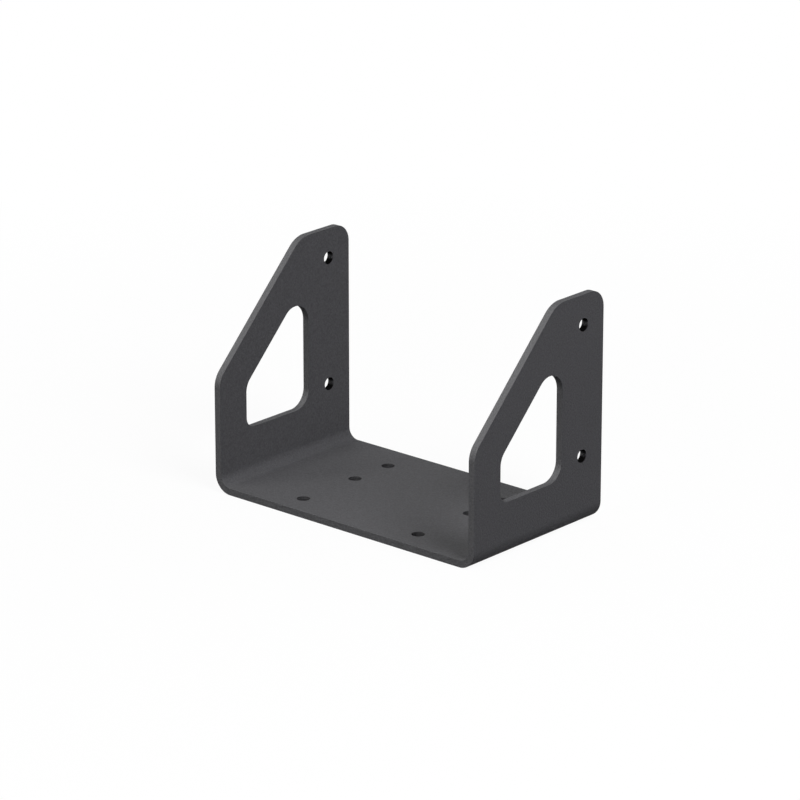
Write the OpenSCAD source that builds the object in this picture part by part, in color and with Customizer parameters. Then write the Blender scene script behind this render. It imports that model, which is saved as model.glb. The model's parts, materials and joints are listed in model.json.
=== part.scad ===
// Adapter bracket: one steel sheet, cut flat and folded up twice into a U.
// The base carries a grid of screw holes, and a cheek stands up at each side of it.
// The width lies along X, the depth along Y with the front at -Y, and the height along Z.
// The origin is in the middle of the underside of the base.

/* [Sheet] */
// Thickness of the sheet
sheet_t = 4; // [2:0.5:6]
// Radius on the inside of both folds
fold_r = 6; // [2:0.5:12]

/* [Overall size] */
// Width over the outer faces of the two cheeks
overall_w = 176.5; // [120:0.5:260]
// Depth from the front edge to the rear edge
overall_d = 100; // [90:0.5:140]
// Height from the underside of the base to the top edge of the cheeks
overall_h = 124.5; // [110:0.5:160]

/* [Cheek outline] */
// Height at which the upright front edge and the slope would meet
front_h = 62; // [54:0.5:80]
// Length of the level top edge, from the slope to the rear edge
top_l = 37.5; // [25:0.5:50]
// Radius between the front edge and the slope
front_corner_r = 12.5; // [2:0.5:25]
// Radius between the slope and the top edge
top_corner_r = 15; // [2:0.5:25]
// Radius between the top edge and the rear edge
rear_corner_r = 10; // [2:0.5:16]

/* [Cheek window] */
// Width of the strip left in front of the window
window_front = 20; // [12:0.5:30]
// Width of the strip left behind the window
window_rear = 32; // [26:0.5:40]
// Width of the strip left along the slope, square to it
window_slope = 19.8; // [12:0.1:26]
// Height of the window's lower side above the underside of the base
window_bottom = 30; // [20:0.5:36]
// Radius of the window's lower front corner
window_front_r = 6; // [2:0.5:14]
// Radius of the window's other three corners
window_r = 10; // [2:0.5:14]

/* [Cheek holes] */
// Diameter of the screw holes in the cheeks
cheek_hole_d = 6.8; // [4:0.1:12]
// Distance of both holes from the rear edge
cheek_hole_rear = 16; // [10:0.5:22]
// Distance of the upper hole from the top edge
cheek_hole_top = 16; // [10:0.5:30]
// Distance from the upper hole down to the lower one
cheek_hole_pitch = 70; // [30:0.5:85]

/* [Base holes] */
// Diameter of the screw holes in the base
base_hole_d = 6.8; // [4:0.1:12]
// Distance between the left and right columns of holes
base_column_pitch = 78.5; // [30:0.5:140]
// Distance of the front row from the front edge
base_row_front = 14; // [8:0.5:25]
// Distance from the front row to the middle row
base_row_pitch_1 = 40; // [15:0.5:50]
// Distance from the middle row to the rear row
base_row_pitch_2 = 26; // [15:0.5:38]

/* [Hidden] */

// Sides of a full circle
$fn = 128;
// Length by which a cutting or bounding shape runs past the sheet
past = 5;
// Distance too small to see, which keeps an arc from only touching a side
hair = 0.002;
// Dark grey powder coat
coat_colour = [0.27, 0.27, 0.28];

front_y = -overall_d / 2;
rear_y = overall_d / 2;
outer_x = overall_w / 2;
inner_x = outer_x - sheet_t;
outer_fold_r = fold_r + sheet_t;

// The slope rises from the front edge to the level top edge
slope_angle = atan2(overall_h - front_h, overall_d - top_l);
function window_slope_z(y) =
    front_h + (y - front_y) * tan(slope_angle) - window_slope / cos(slope_angle);

window_front_y = front_y + window_front;
window_rear_y = rear_y - window_rear;

cheek_hole_y = rear_y - cheek_hole_rear;
cheek_hole_upper_z = overall_h - cheek_hole_top;
cheek_hole_zs = [cheek_hole_upper_z, cheek_hole_upper_z - cheek_hole_pitch];

base_column_xs = [-base_column_pitch / 2, base_column_pitch / 2];
base_row_front_y = front_y + base_row_front;
base_row_middle_y = base_row_front_y + base_row_pitch_1;
base_row_rear_y = base_row_middle_y + base_row_pitch_2;
base_row_ys = [base_row_front_y, base_row_middle_y, base_row_rear_y];

// An outline is a list of corners [x, y, r], anticlockwise and convex, where r rounds the corner
outer_section = [
    [-outer_x, 0, outer_fold_r],
    [outer_x, 0, outer_fold_r],
    [outer_x, overall_h + past, 0],
    [-outer_x, overall_h + past, 0],
];
inner_section = [
    [-inner_x, sheet_t, fold_r],
    [inner_x, sheet_t, fold_r],
    [inner_x, overall_h + 2 * past, 0],
    [-inner_x, overall_h + 2 * past, 0],
];
cheek_outline = [
    [front_y, -past, 0],
    [rear_y, -past, 0],
    [rear_y, overall_h, rear_corner_r],
    [rear_y - top_l, overall_h, top_corner_r],
    [front_y, front_h, front_corner_r],
];
window_outline = [
    [window_front_y, window_bottom, window_front_r],
    [window_rear_y, window_bottom, window_r],
    [window_rear_y, window_slope_z(window_rear_y), window_r],
    [window_front_y, window_slope_z(window_front_y), window_r],
];

// The sharp corner i of an outline, counted round and round
function corner(outline, i) = let (c = outline[i % len(outline)]) [c.x, c.y];
function direction(from, to) = (to - from) / norm(to - from);
function back(outline, i) = direction(corner(outline, i), corner(outline, i + len(outline) - 1));
function onward(outline, i) = direction(corner(outline, i), corner(outline, i + 1));
function half_angle(outline, i) = acos(back(outline, i) * onward(outline, i)) / 2;

// The middle of the arc of corner i, moved out by a hair so that the arc crosses both sides cleanly
function arc_centre(outline, i) =
    let (inward = direction([0, 0], back(outline, i) + onward(outline, i)))
    corner(outline, i) + inward * (outline[i].z / sin(half_angle(outline, i)) - hair);

// What the arc of corner i takes off: the tip between its two ends, drawn past the sides
module corner_waste(outline, i) {
    tip = corner(outline, i);
    reach = outline[i].z / tan(half_angle(outline, i));
    arc_ends = [tip + reach * back(outline, i), tip + reach * onward(outline, i)];
    middle = arc_centre(outline, i);
    difference() {
        polygon([for (p = [middle, arc_ends[0], tip, arc_ends[1]]) 2 * p - middle]);
        translate(middle)
            circle(r = outline[i].z);
    }
}

// A flat shape with true arcs at its corners
module rounded(outline) {
    difference() {
        polygon([for (c = outline) [c.x, c.y]]);
        for (i = [0:len(outline) - 1])
            if (outline[i].z > 0)
                corner_waste(outline, i);
    }
}

// Carries a flat shape, drawn in X and Z, through the whole depth
module through_depth() {
    rotate([90, 0, 0])
        linear_extrude(overall_d + 2 * past, center = true)
            children();
}

// Carries a flat shape, drawn in Y and Z, through both cheeks
module through_cheeks() {
    rotate([90, 0, 90])
        linear_extrude(overall_w + 2 * past, center = true)
            children();
}

// The section of the folded sheet: base, two folds and two cheeks
module folded_section() {
    difference() {
        rounded(outer_section);
        rounded(inner_section);
    }
}

module cheek_holes() {
    for (z = cheek_hole_zs)
        translate([0, cheek_hole_y, z])
            rotate([0, 90, 0])
                cylinder(d = cheek_hole_d, h = overall_w + 2 * past, center = true);
}

module base_holes() {
    for (x = base_column_xs, y = base_row_ys)
        translate([x, y, -past])
            cylinder(d = base_hole_d, h = sheet_t + 2 * past);
}

// The whole sheet, folded
module bracket() {
    color(coat_colour)
        difference() {
            intersection() {
                through_depth() folded_section();
                through_cheeks() rounded(cheek_outline);
            }
            through_cheeks() rounded(window_outline);
            cheek_holes();
            base_holes();
        }
}

bracket();
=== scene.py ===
"""A folded adapter bracket with its powder coat, and a plain studio to see it in.

The sheet is drawn flat, as it leaves the cutter, and a tree of geometry nodes folds it up.
Lengths are in metres. X runs across, Y from the front to the rear, and Z up.
"""

import json
from math import atan2, ceil, cos, pi, radians, sin, tan

import bpy
import numpy as np
from bpy.props import FloatProperty, FloatVectorProperty, PointerProperty
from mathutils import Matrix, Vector
from mathutils.geometry import delaunay_2d_cdt


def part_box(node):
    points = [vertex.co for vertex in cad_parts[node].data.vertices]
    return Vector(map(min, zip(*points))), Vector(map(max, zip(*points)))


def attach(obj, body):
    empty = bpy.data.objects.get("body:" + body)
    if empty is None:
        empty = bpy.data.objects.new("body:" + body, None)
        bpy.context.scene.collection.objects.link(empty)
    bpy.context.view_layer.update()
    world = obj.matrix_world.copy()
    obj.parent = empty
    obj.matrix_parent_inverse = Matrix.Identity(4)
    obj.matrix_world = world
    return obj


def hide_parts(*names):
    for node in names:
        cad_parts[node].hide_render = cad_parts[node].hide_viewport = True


bl_info = {
    "name": "Folded adapter bracket",
    "version": (1, 0, 0),
    "blender": (4, 5, 0),
    "location": "View3D > Sidebar > Bracket",
    "description": "Cuts, folds and coats a sheet bracket, and lays out a studio for it",
    "category": "Object",
}

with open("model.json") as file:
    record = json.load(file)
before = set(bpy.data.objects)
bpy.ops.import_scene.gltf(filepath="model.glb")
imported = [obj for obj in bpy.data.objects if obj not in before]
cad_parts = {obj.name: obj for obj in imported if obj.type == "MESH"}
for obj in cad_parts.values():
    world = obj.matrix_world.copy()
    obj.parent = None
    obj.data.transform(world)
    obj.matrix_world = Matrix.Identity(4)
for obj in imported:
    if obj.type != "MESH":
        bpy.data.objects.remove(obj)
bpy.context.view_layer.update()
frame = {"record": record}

MM = 0.001
PIECE = "folded_sheet"
NODE = "bracket"
BODY = "root"

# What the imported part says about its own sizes
cad_low, cad_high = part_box(NODE)
cad_size = cad_high - cad_low
cad_middle = (cad_low + cad_high) / 2
mounts = {mount["name"]: mount for mount in frame["record"]["mounts"]}
base_corners = mounts["base_corner_holes"]
base_middle = mounts["base_middle_holes"]
cheek_pair = mounts["right_cheek_holes"]
base_rows_y = base_corners["pos_m"][1]
base_rows_span = base_corners["dims"]["spacing_y_mm"] * MM
cheek_pair_pitch = cheek_pair["dims"]["spacing_y_mm"] * MM

# How finely curves are cut into straight steps
ARC_STEP = radians(4)
HOLE_STEPS = 80
FOLD_STEPS = 24
EDGE_STEPS = 4
QUARTER_TURN = pi / 2
FOLD_ANGLE = QUARTER_TURN

# How near two points count as one place on a fold line, and as one point of the mesh
SAME_PLACE = MM / 1000
SAME_POINT = MM / 100000

# Colour of the floor where it is seen, and of the light from all round
FLOOR_PALE = (0.9, 0.9, 0.9)
WHITE = (1.0, 1.0, 1.0)

# How rich in fine detail the noise of the grain and of the soft waves is
GRAIN_NOISE = {"Detail": 3.0, "Roughness": 0.6}
PEEL_NOISE = {"Detail": 1.0, "Roughness": 0.5}
NOISE_MIDDLE = 0.5

# Point attributes that the flat sheet carries into the fold and the coat
BLANK_NORMAL = "blank_normal"
CUT_EDGE = "cut_edge"
PAINTED_HOLE_SHADE = "bore"

# Painted shade on the walls of the screw holes, a near-black matte colour standing in for the shade inside
# them:
# a base hole all round, and a cheek hole above and below, where the painted shade fades this fast towards
# its sides
BASE_HOLE_PAINTED_SHADE = 0.4
CHEEK_HOLE_PAINTED_SHADE = 1.0
PAINTED_SHADE_FADE = 2.0


def length(name, description, default):
    """A size of the part."""
    return FloatProperty(
        name=name,
        description=description,
        default=default,
        min=0.0,
        precision=5,
        subtype="DISTANCE",
        unit="LENGTH",
    )


def share(name, description, default, most=1.0):
    """A number without a unit."""
    return FloatProperty(name=name, description=description, default=default, min=0.0, max=most)


def colour(name, description, default):
    """A colour, in linear light."""
    return FloatVectorProperty(
        name=name,
        description=description,
        default=default,
        size=3,
        min=0.0,
        max=1.0,
        subtype="COLOR",
    )


def angle(name, description, default):
    """An angle, kept in radians."""
    return FloatProperty(
        name=name,
        description=description,
        default=default,
        subtype="ANGLE",
        unit="ROTATION",
    )


def power(name, description, default):
    """The power of a lamp."""
    return FloatProperty(
        name=name,
        description=description,
        default=default,
        min=0.0,
        subtype="POWER",
        unit="POWER",
    )


class BracketSheet(bpy.types.PropertyGroup):
    """Sizes of the sheet and of what is cut out of it"""

    thickness: length("Thickness", "Thickness of the sheet", mounts["base_seat"]["pos_m"][2])
    fold_radius: length("Fold radius", "Radius on the inside of both folds", 6 * MM)
    edge_radius: length(
        "Edge radius",
        "Roundness that deburring and the coat give every cut edge",
        0.2 * MM,
    )
    width: length("Width", "Width over the outer faces of the cheeks", cad_size.x)
    depth: length("Depth", "Depth from the front edge to the rear edge", cad_size.y)
    height: length("Height", "Height from the underside to the top edge", cad_size.z)
    front_height: length("Front height", "Height at which front edge and slope would meet", 62 * MM)
    top_length: length("Top length", "Length of the level top edge, from slope to rear edge", 37.5 * MM)
    front_corner: length("Front corner", "Radius between front edge and slope", 12.5 * MM)
    top_corner: length("Top corner", "Radius between slope and top edge", 15 * MM)
    rear_corner: length("Rear corner", "Radius between top edge and rear edge", 10 * MM)
    window_front: length("Window front", "Strip left in front of the window", 20 * MM)
    window_rear: length("Window rear", "Strip left behind the window", 32 * MM)
    window_slope: length("Window slope", "Strip left along the slope, square to it", 19.8 * MM)
    window_bottom: length("Window bottom", "Height of the window's lower side", 30 * MM)
    window_front_corner: length("Window front corner", "Radius of the window's lower front corner", 6 * MM)
    window_corner: length("Window corner", "Radius of the window's other corners", 10 * MM)
    cheek_hole: length("Cheek hole", "Radius of the cheek holes", cheek_pair["dims"]["hole_r_mm"] * MM)
    cheek_hole_rear: length(
        "Cheek hole rear",
        "Distance of the cheek holes from the rear edge",
        cad_high.y - cheek_pair["pos_m"][1],
    )
    cheek_hole_low: length(
        "Lower cheek hole",
        "Height of the lower cheek hole",
        cheek_pair["pos_m"][2] - cheek_pair_pitch / 2,
    )
    cheek_hole_pitch: length("Cheek hole pitch", "Distance between the two cheek holes", cheek_pair_pitch)
    base_hole: length("Base hole", "Radius of the base holes", base_corners["dims"]["hole_r_mm"] * MM)
    base_columns: length(
        "Base columns",
        "Distance between the two columns of base holes",
        base_corners["dims"]["spacing_x_mm"] * MM,
    )
    base_row_front: length(
        "Front row",
        "Distance of the front row of base holes from the front edge",
        base_rows_y - base_rows_span / 2 - cad_low.y,
    )
    base_row_middle: length(
        "Middle row",
        "Distance of the middle row of base holes from the front edge",
        base_middle["pos_m"][1] - cad_low.y,
    )
    base_row_rear: length(
        "Rear row",
        "Distance of the rear row of base holes from the front edge",
        base_rows_y + base_rows_span / 2 - cad_low.y,
    )


class BracketCoat(bpy.types.PropertyGroup):
    """Look of the powder coat"""

    tone: colour("Colour", "Colour of the coat", (0.033, 0.0327, 0.0354))
    speck: colour("Speck colour", "Colour of the paler specks in the coat", (0.094, 0.0933, 0.1007))
    # Painted shade: the near-black colour that takes the place of the coat on the screw-hole walls,
    # standing in for the shade inside the holes
    painted_shade: colour("Bare colour", "Colour in a screw hole, where little powder lands", (0.004, 0.004, 0.004))
    roughness: share("Roughness", "How dull the coat is", 0.7)
    roughness_spread: share("Roughness spread", "How much the dullness changes from grain to grain", 0.12)
    specular: share("Specular", "Strength of the coat's plain reflection", 0.06)
    grain_size: length("Grain size", "Size of one grain of the coat", 0.9 * MM)
    grain_depth: length("Grain depth", "Height of the grain", 0.17 * MM)
    peel_size: length("Peel size", "Size of the soft waves under the grain", 3 * MM)
    peel_depth: length("Peel depth", "Height of the soft waves", 0.03 * MM)
    cut_grain: share("Cut edge grain", "How much coarser the coat lies on a cut edge", 2.0, most=10.0)


class BracketStage(bpy.types.PropertyGroup):
    """Floor, light and camera"""

    floor_tone: colour("Floor colour", "Colour of the floor as it lights the part", (0.05, 0.05, 0.05))
    floor_shadow: share("Floor shadow", "How much of its shading the floor shows next to the part", 0.07)
    floor_reach: length("Shadow reach", "Distance from the part at which the floor is plain white", 0.6)
    fill: share("Fill light", "Strength of the even light from all round", 0.15, most=5.0)
    key_power: power("Key power", "Power of the softbox on the right", 25.5)
    key_turn: angle("Key turn", "How far the right softbox stands round from the front", radians(80))
    key_rise: angle("Key rise", "How high the right softbox stands", radians(44))
    front_power: power("Front power", "Power of the softbox in front", 8.1)
    front_turn: angle("Front turn", "How far the front softbox stands round from the front", radians(0))
    front_rise: angle("Front rise", "How high the front softbox stands", radians(10))
    rear_power: power("Rear power", "Power of the softbox low behind on the left", 8.0)
    rear_turn: angle("Rear turn", "How far the rear softbox stands round from the front", radians(-110))
    rear_rise: angle("Rear rise", "How high the rear softbox stands", radians(12))
    card_power: power("Card power", "Power of the card high in front, which only shows as a sheen", 630.0)
    card_turn: angle("Card turn", "How far the card stands round from the front", radians(-20))
    card_rise: angle("Card rise", "How high the card stands", radians(50))
    card_size: length("Card size", "Side of the card", 1.2)
    softbox_size: length("Softbox size", "Side of each softbox", 0.8)
    softbox_distance: length("Softbox distance", "Distance of each softbox from the part", 1.6)
    view_turn: angle("View turn", "How far the camera stands round from the front", radians(41.2465))
    view_rise: angle("View rise", "How far the camera stands above the level", radians(19.0562))
    view_distance: length("View distance", "Distance of the camera from the view point", 2262.95 * MM)
    view_point: FloatVectorProperty(
        name="View point",
        description="Point that the camera looks at",
        default=(-2.598 * MM, -2.167 * MM, 57.298 * MM),
        size=3,
        subtype="TRANSLATION",
        unit="LENGTH",
    )
    lens: FloatProperty(
        name="Lens",
        description="Focal length of the camera, in millimetres",
        default=198.735,
        min=1.0,
        unit="CAMERA",
    )


class Wire:
    """An output in a node tree that can be used in sums."""

    def __init__(self, graph, socket):
        self.graph = graph
        self.socket = socket

    def sum(self, operation, *values):
        return self.graph.wire("ShaderNodeMath", {"operation": operation}, dict(enumerate(values)))

    def __add__(self, other):
        return self.sum("ADD", self, other)

    def __radd__(self, other):
        return self.sum("ADD", other, self)

    def __sub__(self, other):
        return self.sum("SUBTRACT", self, other)

    def __rsub__(self, other):
        return self.sum("SUBTRACT", other, self)

    def __mul__(self, other):
        return self.sum("MULTIPLY", self, other)

    def __rmul__(self, other):
        return self.sum("MULTIPLY", other, self)

    def __truediv__(self, other):
        return self.sum("DIVIDE", self, other)

    def __rtruediv__(self, other):
        return self.sum("DIVIDE", other, self)

    def __abs__(self):
        return self.sum("ABSOLUTE", self)

    def least(self, other):
        return self.sum("MINIMUM", self, other)

    def most(self, other):
        return self.sum("MAXIMUM", self, other)

    def sign(self):
        return self.sum("SIGN", self)

    def sine(self):
        return self.sum("SINE", self)

    def cosine(self):
        return self.sum("COSINE", self)


class Graph:
    """A node tree that is filled node by node."""

    def __init__(self, tree):
        self.tree = tree
        tree.nodes.clear()

    def node(self, kind, settings=None, sockets=None):
        """Adds a node: its type, then its settings, then the values or links of its sockets."""
        made = self.tree.nodes.new(kind)
        for name, value in (settings or {}).items():
            setattr(made, name, value)
        for key, value in (sockets or {}).items():
            self.feed(made.inputs[key], value)
        return made

    def feed(self, socket, value):
        """Links a wire to a socket, or sets the socket's own value."""
        if isinstance(value, Wire):
            self.tree.links.new(value.socket, socket)
        else:
            socket.default_value = value

    def wire(self, kind, settings=None, sockets=None, output=0):
        """Adds a node and gives one of its outputs."""
        return Wire(self, self.node(kind, settings, sockets).outputs[output])

    def blend(self, amount, first, second):
        """A colour between two others."""
        made = self.node("ShaderNodeMix", {"data_type": "RGBA"})
        colours = [socket for socket in made.inputs if socket.type == "RGBA"]
        for socket, value in ((made.inputs[0], amount), (colours[0], first), (colours[1], second)):
            self.feed(socket, value)
        return Wire(self, next(socket for socket in made.outputs if socket.type == "RGBA"))

    def wires(self, kind, settings=None, sockets=None):
        """Adds a node and gives all its outputs, by number."""
        return [Wire(self, socket) for socket in self.node(kind, settings, sockets).outputs]


class Blank:
    """The flat sheet before it is folded, with the width of both folds laid out."""

    def __init__(self, sizes):
        self.sizes = sizes
        self.outer_radius = sizes.fold_radius + sizes.thickness
        self.neutral_radius = sizes.fold_radius + sizes.thickness / 2
        self.fold_start = sizes.width / 2 - self.outer_radius
        self.fold_end = self.fold_start + self.neutral_radius * FOLD_ANGLE
        self.front = -sizes.depth / 2
        self.rear = sizes.depth / 2

    def place(self, side, y, z):
        """Where a point of a cheek lies on the flat sheet."""
        return Vector((side * (self.fold_end + z - self.outer_radius), y))

    def fold_lines(self):
        """Distances across the sheet at which it has an edge to bend along."""
        steps = [step / FOLD_STEPS for step in range(FOLD_STEPS + 1)]
        across = [self.fold_start + (self.fold_end - self.fold_start) * step for step in steps]
        return [-x for x in reversed(across)] + across

    def outline(self):
        """The outer line of the sheet, with the sheet on its left."""
        sizes = self.sizes
        cheek = [
            (self.front, sizes.front_height, sizes.front_corner),
            (self.rear - sizes.top_length, sizes.height, sizes.top_corner),
            (self.rear, sizes.height, sizes.rear_corner),
        ]
        right = [(self.place(1, y, z), radius) for y, z, radius in cheek]
        left = [(self.place(-1, y, z), radius) for y, z, radius in reversed(cheek)]
        return cut_across(rounded_loop(right + left), self.fold_lines())

    def window(self, side):
        """The line of a cheek's window."""
        sizes = self.sizes
        front = self.front + sizes.window_front
        rear = self.rear - sizes.window_rear
        rise = sizes.height - sizes.front_height
        run = sizes.depth - sizes.top_length
        slope = atan2(rise, run)
        drop = sizes.window_slope / cos(slope)

        def slope_height(y):
            return sizes.front_height + (y - self.front) * tan(slope) - drop

        corners = [
            (front, sizes.window_bottom, sizes.window_front_corner),
            (rear, sizes.window_bottom, sizes.window_corner),
            (rear, slope_height(rear), sizes.window_corner),
            (front, slope_height(front), sizes.window_corner),
        ]
        placed = [(self.place(side, y, z), radius) for y, z, radius in corners]
        return rounded_loop(placed if side > 0 else placed[::-1])

    def base_holes(self):
        """The lines of the screw holes in the base."""
        sizes = self.sizes
        rows = [self.front + y for y in (sizes.base_row_front, sizes.base_row_middle, sizes.base_row_rear)]
        column = sizes.base_columns / 2
        return [hole_loop(Vector((x, y)), sizes.base_hole) for x in (-column, column) for y in rows]

    def cheek_holes(self):
        """The lines of the screw holes in both cheeks."""
        sizes = self.sizes
        y = self.rear - sizes.cheek_hole_rear
        heights = (sizes.cheek_hole_low, sizes.cheek_hole_low + sizes.cheek_hole_pitch)
        return [hole_loop(self.place(side, y, z), sizes.cheek_hole) for side in (-1, 1) for z in heights]

    def loops(self):
        """Every line that the cutter follows, each with how much painted shade its wall gets all round,
        and above and below.
        """
        edges = [(loop, 0.0, 0.0) for loop in (self.outline(), self.window(-1), self.window(1))]
        base = [(loop, BASE_HOLE_PAINTED_SHADE, 0.0) for loop in self.base_holes()]
        cheeks = [(loop, 0.0, CHEEK_HOLE_PAINTED_SHADE) for loop in self.cheek_holes()]
        return edges + base + cheeks


def turned_right(direction):
    return Vector((direction.y, -direction.x))


def rounded_loop(corners):
    """A closed line through corners, each a place and a radius, with the sheet on its left.

    Each point of the line comes with the direction that leads off the sheet.
    """
    points = []
    count = len(corners)
    for i, (tip, radius) in enumerate(corners):
        before = tip - corners[i - 1][0]
        after = corners[(i + 1) % count][0] - tip
        onto = before.normalized()
        turn = atan2(before.cross(after), before.dot(after))
        reach = radius * tan(abs(turn) / 2)
        if reach > min(before.length, after.length):
            raise ValueError("a corner's radius is too large for the sides that it joins")
        bulge = radius if turn > 0 else -radius
        centre = tip - onto * reach - turned_right(onto) * bulge
        start = atan2(onto.y, onto.x)
        steps = ceil(abs(turn) / ARC_STEP)
        for step in range(steps + 1):
            heading = start + turn * step / steps
            off = Vector((sin(heading), -cos(heading)))
            points.append((centre + off * bulge, off))
    return points


def hole_loop(centre, radius):
    """The line of a round hole, run round clockwise so that the sheet is on its left."""
    points = []
    for step in range(HOLE_STEPS):
        heading = -2 * pi * step / HOLE_STEPS
        off = -Vector((cos(heading), sin(heading)))
        points.append((centre - off * radius, off))
    return points


def cut_across(loop, lines):
    """Adds a point to a closed line wherever a straight part of it crosses one of the lines."""
    points = []
    for i, (start, off) in enumerate(loop):
        points.append((start, off))
        end = loop[(i + 1) % len(loop)][0]
        low, high = sorted((start.x, end.x))
        crossed = sorted((x for x in lines if low < x < high), reverse=start.x > end.x)
        for x in crossed:
            y = start.y + (end.y - start.y) * (x - start.x) / (end.x - start.x)
            points.append((Vector((x, y)), off))
    return points


def wall_rows(thickness, edge_radius):
    """The section of a cut edge, from the underside up.

    Each row has its distance in from the cut, its height, and how much it faces out and up.
    """
    lower = []
    for step in range(EDGE_STEPS + 1):
        lean = QUARTER_TURN * step / EDGE_STEPS
        inset = edge_radius * (1 - sin(lean))
        height = edge_radius * (1 - cos(lean))
        lower.append((inset, height, sin(lean), -cos(lean)))
    upper = [(inset, thickness - height, out, -up) for inset, height, out, up in reversed(lower)]
    return lower + upper


def between_rims(rims, lines):
    """Triangles that fill the sheet between its rims, as numbers of rim points counted through."""
    points = [point for rim in rims for point in rim]
    edges = []
    first = 0
    for rim in rims:
        numbers = range(first, first + len(rim))
        edges.extend((n, first + (n + 1 - first) % len(rim)) for n in numbers)
        first += len(rim)
    for x in lines:
        ends = [n for n, point in enumerate(rims[0]) if abs(point.x - x) < SAME_PLACE]
        if len(ends) != 2:
            raise ValueError("a fold line doesn't run from the front edge to the rear edge")
        edges.append(tuple(ends))
    _, _, faces, sources, _, _ = delaunay_2d_cdt(points, edges, [], 0, SAME_POINT)
    triangles = np.array([[sources[corner][0] for corner in face] for face in faces])
    flat = np.array(points)
    middles = flat[triangles].mean(axis=1)
    crossings = np.zeros(len(middles), dtype=int)
    for rim in rims:
        for a, b in zip(rim, rim[1:] + rim[:1]):
            if a.y != b.y:
                level = (a.y > middles[:, 1]) != (b.y > middles[:, 1])
                reach = a.x + (middles[:, 1] - a.y) * (b.x - a.x) / (b.y - a.y)
                crossings += level & (reach > middles[:, 0])
    return triangles[crossings % 2 == 1].tolist()


def blank_mesh(blank):
    """The flat sheet as a closed mesh with rounded cut edges, its underside at height 0."""
    sizes = blank.sizes
    if 2 * sizes.edge_radius >= sizes.thickness:
        raise ValueError("the edge radius has to be less than half the sheet's thickness")
    rows = wall_rows(sizes.thickness, sizes.edge_radius)
    last = len(rows) - 1
    places = []
    normals = []
    cuts = []
    painted_hole_shades = []
    faces = []
    under = []
    over = []
    rims = []
    for loop, painted_shade_round, painted_shade_upright in blank.loops():
        first = len(places)
        for point, off in loop:
            # Painted shade on a hole wall: all round in a base hole, and above and below in a cheek hole,
            # fading towards its sides
            painted_shade = max(painted_shade_round, painted_shade_upright * min(1.0, PAINTED_SHADE_FADE * abs(off.x)))
            for inset, height, out, up in rows:
                places.append((point.x - inset * off.x, point.y - inset * off.y, height))
                normals.append((out * off.x, out * off.y, up))
                cuts.append(out)
                painted_hole_shades.append(out * painted_shade)
        columns = [first + n * len(rows) for n in range(len(loop))]
        for here, there in zip(columns, columns[1:] + columns[:1]):
            for row in range(last):
                faces.append((here + row, there + row, there + row + 1, here + row + 1))
        under.extend(columns)
        over.extend(column + last for column in columns)
        rims.append([point - off * sizes.edge_radius for point, off in loop])
    for a, b, c in between_rims(rims, blank.fold_lines()):
        faces.append((over[a], over[b], over[c]))
        faces.append((under[c], under[b], under[a]))
    mesh = bpy.data.meshes.new(PIECE)
    mesh.from_pydata(places, [], faces)
    mesh.polygons.foreach_set("use_smooth", [True] * len(mesh.polygons))
    kept = mesh.attributes.new(BLANK_NORMAL, "FLOAT_VECTOR", "POINT")
    kept.data.foreach_set("vector", np.array(normals).ravel())
    for name, values in ((CUT_EDGE, cuts), (PAINTED_HOLE_SHADE, painted_hole_shades)):
        kept = mesh.attributes.new(name, "FLOAT", "POINT")
        kept.data.foreach_set("value", values)
    return mesh


def fold_tree():
    """A tree that folds the two ends of a flat sheet up into cheeks, and coats it."""
    tree = bpy.data.node_groups.new("Fold up a sheet", "GeometryNodeTree")
    graph = Graph(tree)
    sockets = (
        ("Sheet", "NodeSocketGeometry"),
        ("Fold start", "NodeSocketFloat"),
        ("Outer radius", "NodeSocketFloat"),
        ("Neutral radius", "NodeSocketFloat"),
        ("Fold angle", "NodeSocketFloat"),
        ("Coat", "NodeSocketMaterial"),
    )
    for name, kind in sockets:
        tree.interface.new_socket(name=name, in_out="INPUT", socket_type=kind)
    tree.interface.new_socket(name="Part", in_out="OUTPUT", socket_type="NodeSocketGeometry")
    sheet, fold_start, outer_radius, neutral_radius, fold_angle, coat, _ = graph.wires("NodeGroupInput")

    position = graph.wire("GeometryNodeInputPosition")
    across, along, up = graph.wires("ShaderNodeSeparateXYZ", sockets={0: position})
    side = across.sign()
    past_start = abs(across) - fold_start
    bend = (past_start / neutral_radius).most(0.0).least(fold_angle)
    run = (past_start - neutral_radius * fold_angle).most(0.0)
    radius = outer_radius - up
    folded_x = side * (abs(across).least(fold_start) + radius * bend.sine() + run * bend.cosine())
    folded_z = outer_radius - radius * bend.cosine() + run * bend.sine()
    folded = graph.wire("ShaderNodeCombineXYZ", sockets={0: folded_x, 1: along, 2: folded_z})

    kept = graph.wire(
        "GeometryNodeInputNamedAttribute",
        {"data_type": "FLOAT_VECTOR"},
        {"Name": BLANK_NORMAL},
    )
    face_across, face_along, face_up = graph.wires("ShaderNodeSeparateXYZ", sockets={0: kept})
    facing_x = face_across * bend.cosine() - side * face_up * bend.sine()
    facing_z = side * face_across * bend.sine() + face_up * bend.cosine()
    facing = graph.wire("ShaderNodeCombineXYZ", sockets={0: facing_x, 1: face_along, 2: facing_z})

    # Both are worked out on the flat sheet, so the normal is set while the sheet still lies flat
    faced = graph.wire(
        "GeometryNodeSetMeshNormal",
        {"mode": "FREE", "domain": "POINT"},
        {"Mesh": sheet, "Custom Normal": facing},
    )
    shaped = graph.wire("GeometryNodeSetPosition", sockets={"Geometry": faced, "Position": folded})
    cleared = graph.wire("GeometryNodeRemoveAttribute", sockets={"Geometry": shaped, "Name": BLANK_NORMAL})
    whole = graph.wire("GeometryNodeRealizeInstances", sockets={"Geometry": cleared})
    coated = graph.wire("GeometryNodeSetMaterial", sockets={"Geometry": whole, "Material": coat})
    graph.node("NodeGroupOutput", sockets={0: coated})
    return tree


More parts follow.
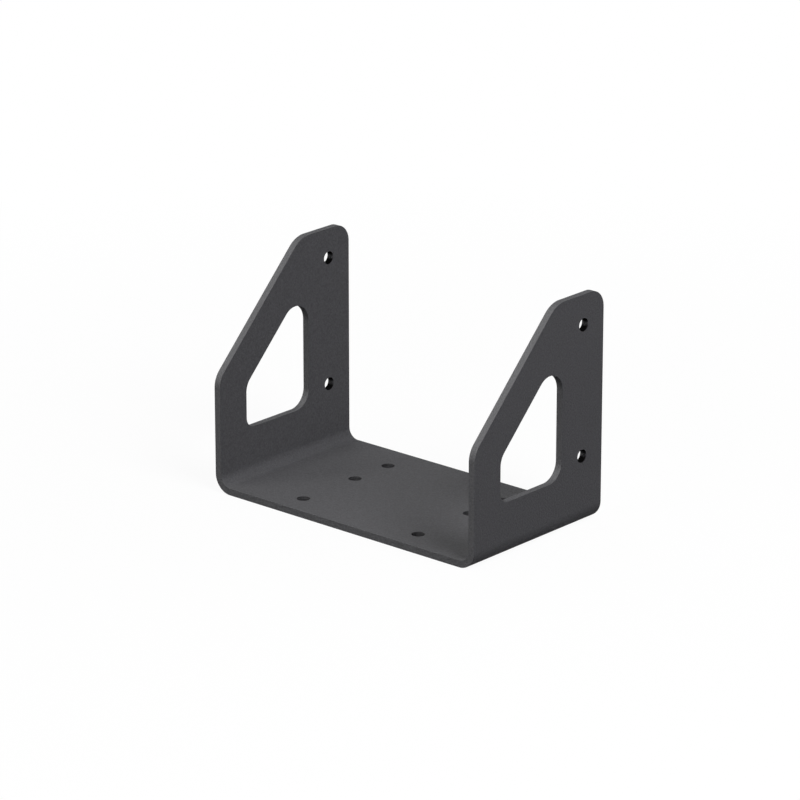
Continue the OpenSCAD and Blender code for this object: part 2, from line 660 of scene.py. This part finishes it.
def coat_material(coat):
    """Powder coat: a fine grain over soft waves, with specks and an uneven dullness, and painted shade on
    the screw-hole walls.
    """
    material = bpy.data.materials.new("powder_coat")
    material.use_nodes = True
    graph = Graph(material.node_tree)
    place = graph.wire("ShaderNodeTexCoord", output="Object")
    grain = graph.wire(
        "ShaderNodeTexNoise",
        sockets={"Vector": place, "Scale": 1 / coat.grain_size, **GRAIN_NOISE},
    )
    peel = graph.wire(
        "ShaderNodeTexNoise",
        sockets={"Vector": place, "Scale": 1 / coat.peel_size, **PEEL_NOISE},
    )
    cut_edge = graph.wire("ShaderNodeAttribute", {"attribute_name": CUT_EDGE}, output="Fac")
    relief = grain * (1 + cut_edge * coat.cut_grain) + peel * (coat.peel_depth / coat.grain_depth)
    normal = graph.wire(
        "ShaderNodeBump",
        sockets={"Strength": 1.0, "Distance": coat.grain_depth, "Height": relief},
    )
    # Painted shade in the screw holes: where this attribute is 1, a near-black matte shader takes the
    # place of the coat
    bore = graph.wire("ShaderNodeAttribute", {"attribute_name": PAINTED_HOLE_SHADE}, output="Fac")
    tone = graph.blend(grain, (*coat.tone, 1.0), (*coat.speck, 1.0))
    dullness = coat.roughness + (grain - NOISE_MIDDLE) * coat.roughness_spread
    coated = graph.wire(
        "ShaderNodeBsdfPrincipled",
        sockets={
            "Base Color": tone,
            "Roughness": dullness,
            "Specular IOR Level": coat.specular,
            "Normal": normal,
        },
    )
    # Near-black matte shader that paints the shade on the hole walls
    painted_shade = graph.wire("ShaderNodeBsdfDiffuse", sockets={"Color": (*coat.painted_shade, 1.0)})
    surface = graph.wire("ShaderNodeMixShader", sockets={0: bore, 1: coated, 2: painted_shade})
    graph.node("ShaderNodeOutputMaterial", sockets={"Surface": surface})
    return material


def towards(turn, rise):
    """Direction that stands round to the right of the front by turn, and up by rise."""
    return Vector((sin(turn) * cos(rise), -cos(turn) * cos(rise), sin(rise)))


def ray_kinds(graph):
    """1 where the camera sees the surface straight, and 1 where it is seen in or through a part."""
    path = graph.node("ShaderNodeLightPath")
    names = ("Is Camera Ray", "Is Glossy Ray", "Is Transmission Ray")
    camera, glossy, clear = (Wire(graph, path.outputs[name]) for name in names)
    return camera, glossy.most(clear)


def floor_material(stage):
    """A pale floor that looks white, and still shows a part of its own shading."""
    material = bpy.data.materials.new("pale_floor")
    material.use_nodes = True
    graph = Graph(material.node_tree)
    camera, mirrored = ray_kinds(graph)
    dim = graph.wire("ShaderNodeBsdfDiffuse", sockets={"Color": (*stage.floor_tone, 1.0)})
    pale = graph.wire("ShaderNodeBsdfDiffuse", sockets={"Color": (*FLOOR_PALE, 1.0)})
    white = graph.wire("ShaderNodeEmission", sockets={"Strength": 1.0})
    place = graph.wire("ShaderNodeTexCoord", output="Object")
    distance = graph.wire("ShaderNodeVectorMath", {"operation": "LENGTH"}, {0: place}, "Value")
    nearness = (1 - distance / stage.floor_reach).most(0.0)
    seen = graph.wire("ShaderNodeMixShader", sockets={0: nearness * stage.floor_shadow, 1: white, 2: pale})
    mirror = graph.wire("ShaderNodeMixShader", sockets={0: nearness, 1: white, 2: pale})
    lit = graph.wire("ShaderNodeMixShader", sockets={0: mirrored, 1: dim, 2: mirror})
    surface = graph.wire("ShaderNodeMixShader", sockets={0: camera, 1: lit, 2: seen})
    graph.node("ShaderNodeOutputMaterial", sockets={"Surface": surface})
    return material


class BRACKET_OT_folded_sheet(bpy.types.Operator):
    """Cuts the flat sheet, folds it up and coats it"""

    bl_idname = "bracket.folded_sheet"
    bl_label = "Folded sheet"
    bl_options = {"REGISTER", "UNDO"}

    def execute(self, context):
        scene = context.scene
        blank = Blank(scene.bracket_sheet)
        piece = bpy.data.objects.new(PIECE, blank_mesh(blank))
        scene.collection.objects.link(piece)
        tree = fold_tree()
        values = {
            "Fold start": blank.fold_start,
            "Outer radius": blank.outer_radius,
            "Neutral radius": blank.neutral_radius,
            "Fold angle": FOLD_ANGLE,
            "Coat": coat_material(scene.bracket_coat),
        }
        fold = piece.modifiers.new("Fold", "NODES")
        fold.node_group = tree
        for socket in tree.interface.items_tree:
            if socket.name in values:
                fold[socket.identifier] = values[socket.name]
        folded = bpy.data.meshes.new_from_object(piece.evaluated_get(context.evaluated_depsgraph_get()))
        if not folded.polygons:
            raise RuntimeError("the sheet did not fold")
        piece.modifiers.clear()
        piece.data = folded
        folded.name = PIECE
        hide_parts(NODE)
        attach(piece, BODY)
        return {"FINISHED"}


class BRACKET_OT_stage(bpy.types.Operator):
    """Lays out the floor, the light and the camera"""

    bl_idname = "bracket.stage"
    bl_label = "Stage"
    bl_options = {"REGISTER", "UNDO"}

    FLOOR_HALF = 8.0
    FLOOR_GAP = 0.02 * MM
    SENSOR_WIDTH = 36.0
    FARTHEST_SEEN = 100.0

    def execute(self, context):
        scene = context.scene
        stage = scene.bracket_stage
        scene.view_settings.view_transform = "Standard"
        self.add_floor(scene, stage)
        self.add_world(scene, stage)
        lamps = (
            ("key_softbox", stage.key_power, stage.key_turn, stage.key_rise, stage.softbox_size),
            ("front_softbox", stage.front_power, stage.front_turn, stage.front_rise, stage.softbox_size),
            ("rear_softbox", stage.rear_power, stage.rear_turn, stage.rear_rise, stage.softbox_size),
            ("sheen_card", stage.card_power, stage.card_turn, stage.card_rise, stage.card_size),
        )
        *_, rear, card = [self.add_softbox(scene, stage, *lamp) for lamp in lamps]
        rear.visible_glossy = False
        card.visible_diffuse = False
        self.add_camera(scene, stage)
        return {"FINISHED"}

    def add_floor(self, scene, stage):
        half = self.FLOOR_HALF
        around = ((-half, -half), (half, -half), (half, half), (-half, half))
        corners = [(x, y, -self.FLOOR_GAP) for x, y in around]
        mesh = bpy.data.meshes.new("floor")
        mesh.from_pydata(corners, [], [(0, 1, 2, 3)])
        mesh.materials.append(floor_material(stage))
        floor = bpy.data.objects.new("floor", mesh)
        scene.collection.objects.link(floor)

    def add_world(self, scene, stage):
        world = bpy.data.worlds.new("studio")
        world.use_nodes = True
        graph = Graph(world.node_tree)
        camera, mirrored = ray_kinds(graph)
        strength = stage.fill + camera.most(mirrored) * (1 - stage.fill)
        light = graph.wire("ShaderNodeBackground", sockets={"Color": (*WHITE, 1.0), "Strength": strength})
        graph.node("ShaderNodeOutputWorld", sockets={"Surface": light})
        scene.world = world

    def add_softbox(self, scene, stage, name, energy, turn, rise, size):
        lamp = bpy.data.lights.new(name, "AREA")
        lamp.energy = energy
        lamp.size = size
        softbox = bpy.data.objects.new(name, lamp)
        out = towards(turn, rise)
        softbox.location = cad_middle + out * stage.softbox_distance
        softbox.rotation_mode = "QUATERNION"
        softbox.rotation_quaternion = (-out).to_track_quat("-Z", "Y")
        scene.collection.objects.link(softbox)
        return softbox

    def add_camera(self, scene, stage):
        back = towards(stage.view_turn, stage.view_rise)
        camera = bpy.data.objects.new("camera", bpy.data.cameras.new("camera"))
        camera.data.sensor_width = self.SENSOR_WIDTH
        camera.data.lens = stage.lens
        camera.data.clip_end = self.FARTHEST_SEEN
        camera.location = Vector(stage.view_point) + back * stage.view_distance
        camera.rotation_mode = "QUATERNION"
        camera.rotation_quaternion = (-back).to_track_quat("-Z", "Y")
        scene.collection.objects.link(camera)
        scene.camera = camera


class BRACKET_PT_sidebar(bpy.types.Panel):
    """Sizes, finish and stage of the bracket"""

    bl_label = "Folded bracket"
    bl_space_type = "VIEW_3D"
    bl_region_type = "UI"
    bl_category = "Bracket"

    def draw(self, context):
        groups = (
            (BRACKET_OT_folded_sheet, (context.scene.bracket_sheet, context.scene.bracket_coat)),
            (BRACKET_OT_stage, (context.scene.bracket_stage,)),
        )
        for operator, settings in groups:
            box = self.layout.box()
            for group in settings:
                for name in group.__annotations__:
                    box.prop(group, name)
            box.operator(operator.bl_idname)


CLASSES = (
    BracketSheet,
    BracketCoat,
    BracketStage,
    BRACKET_OT_folded_sheet,
    BRACKET_OT_stage,
    BRACKET_PT_sidebar,
)


def register():
    for cls in CLASSES:
        bpy.utils.register_class(cls)
    bpy.types.Scene.bracket_sheet = PointerProperty(type=BracketSheet)
    bpy.types.Scene.bracket_coat = PointerProperty(type=BracketCoat)
    bpy.types.Scene.bracket_stage = PointerProperty(type=BracketStage)


def unregister():
    del bpy.types.Scene.bracket_stage
    del bpy.types.Scene.bracket_coat
    del bpy.types.Scene.bracket_sheet
    for cls in reversed(CLASSES):
        bpy.utils.unregister_class(cls)


def main():
    register()
    bpy.ops.bracket.folded_sheet()
    bpy.ops.bracket.stage()


if __name__ == "__main__":
    main()
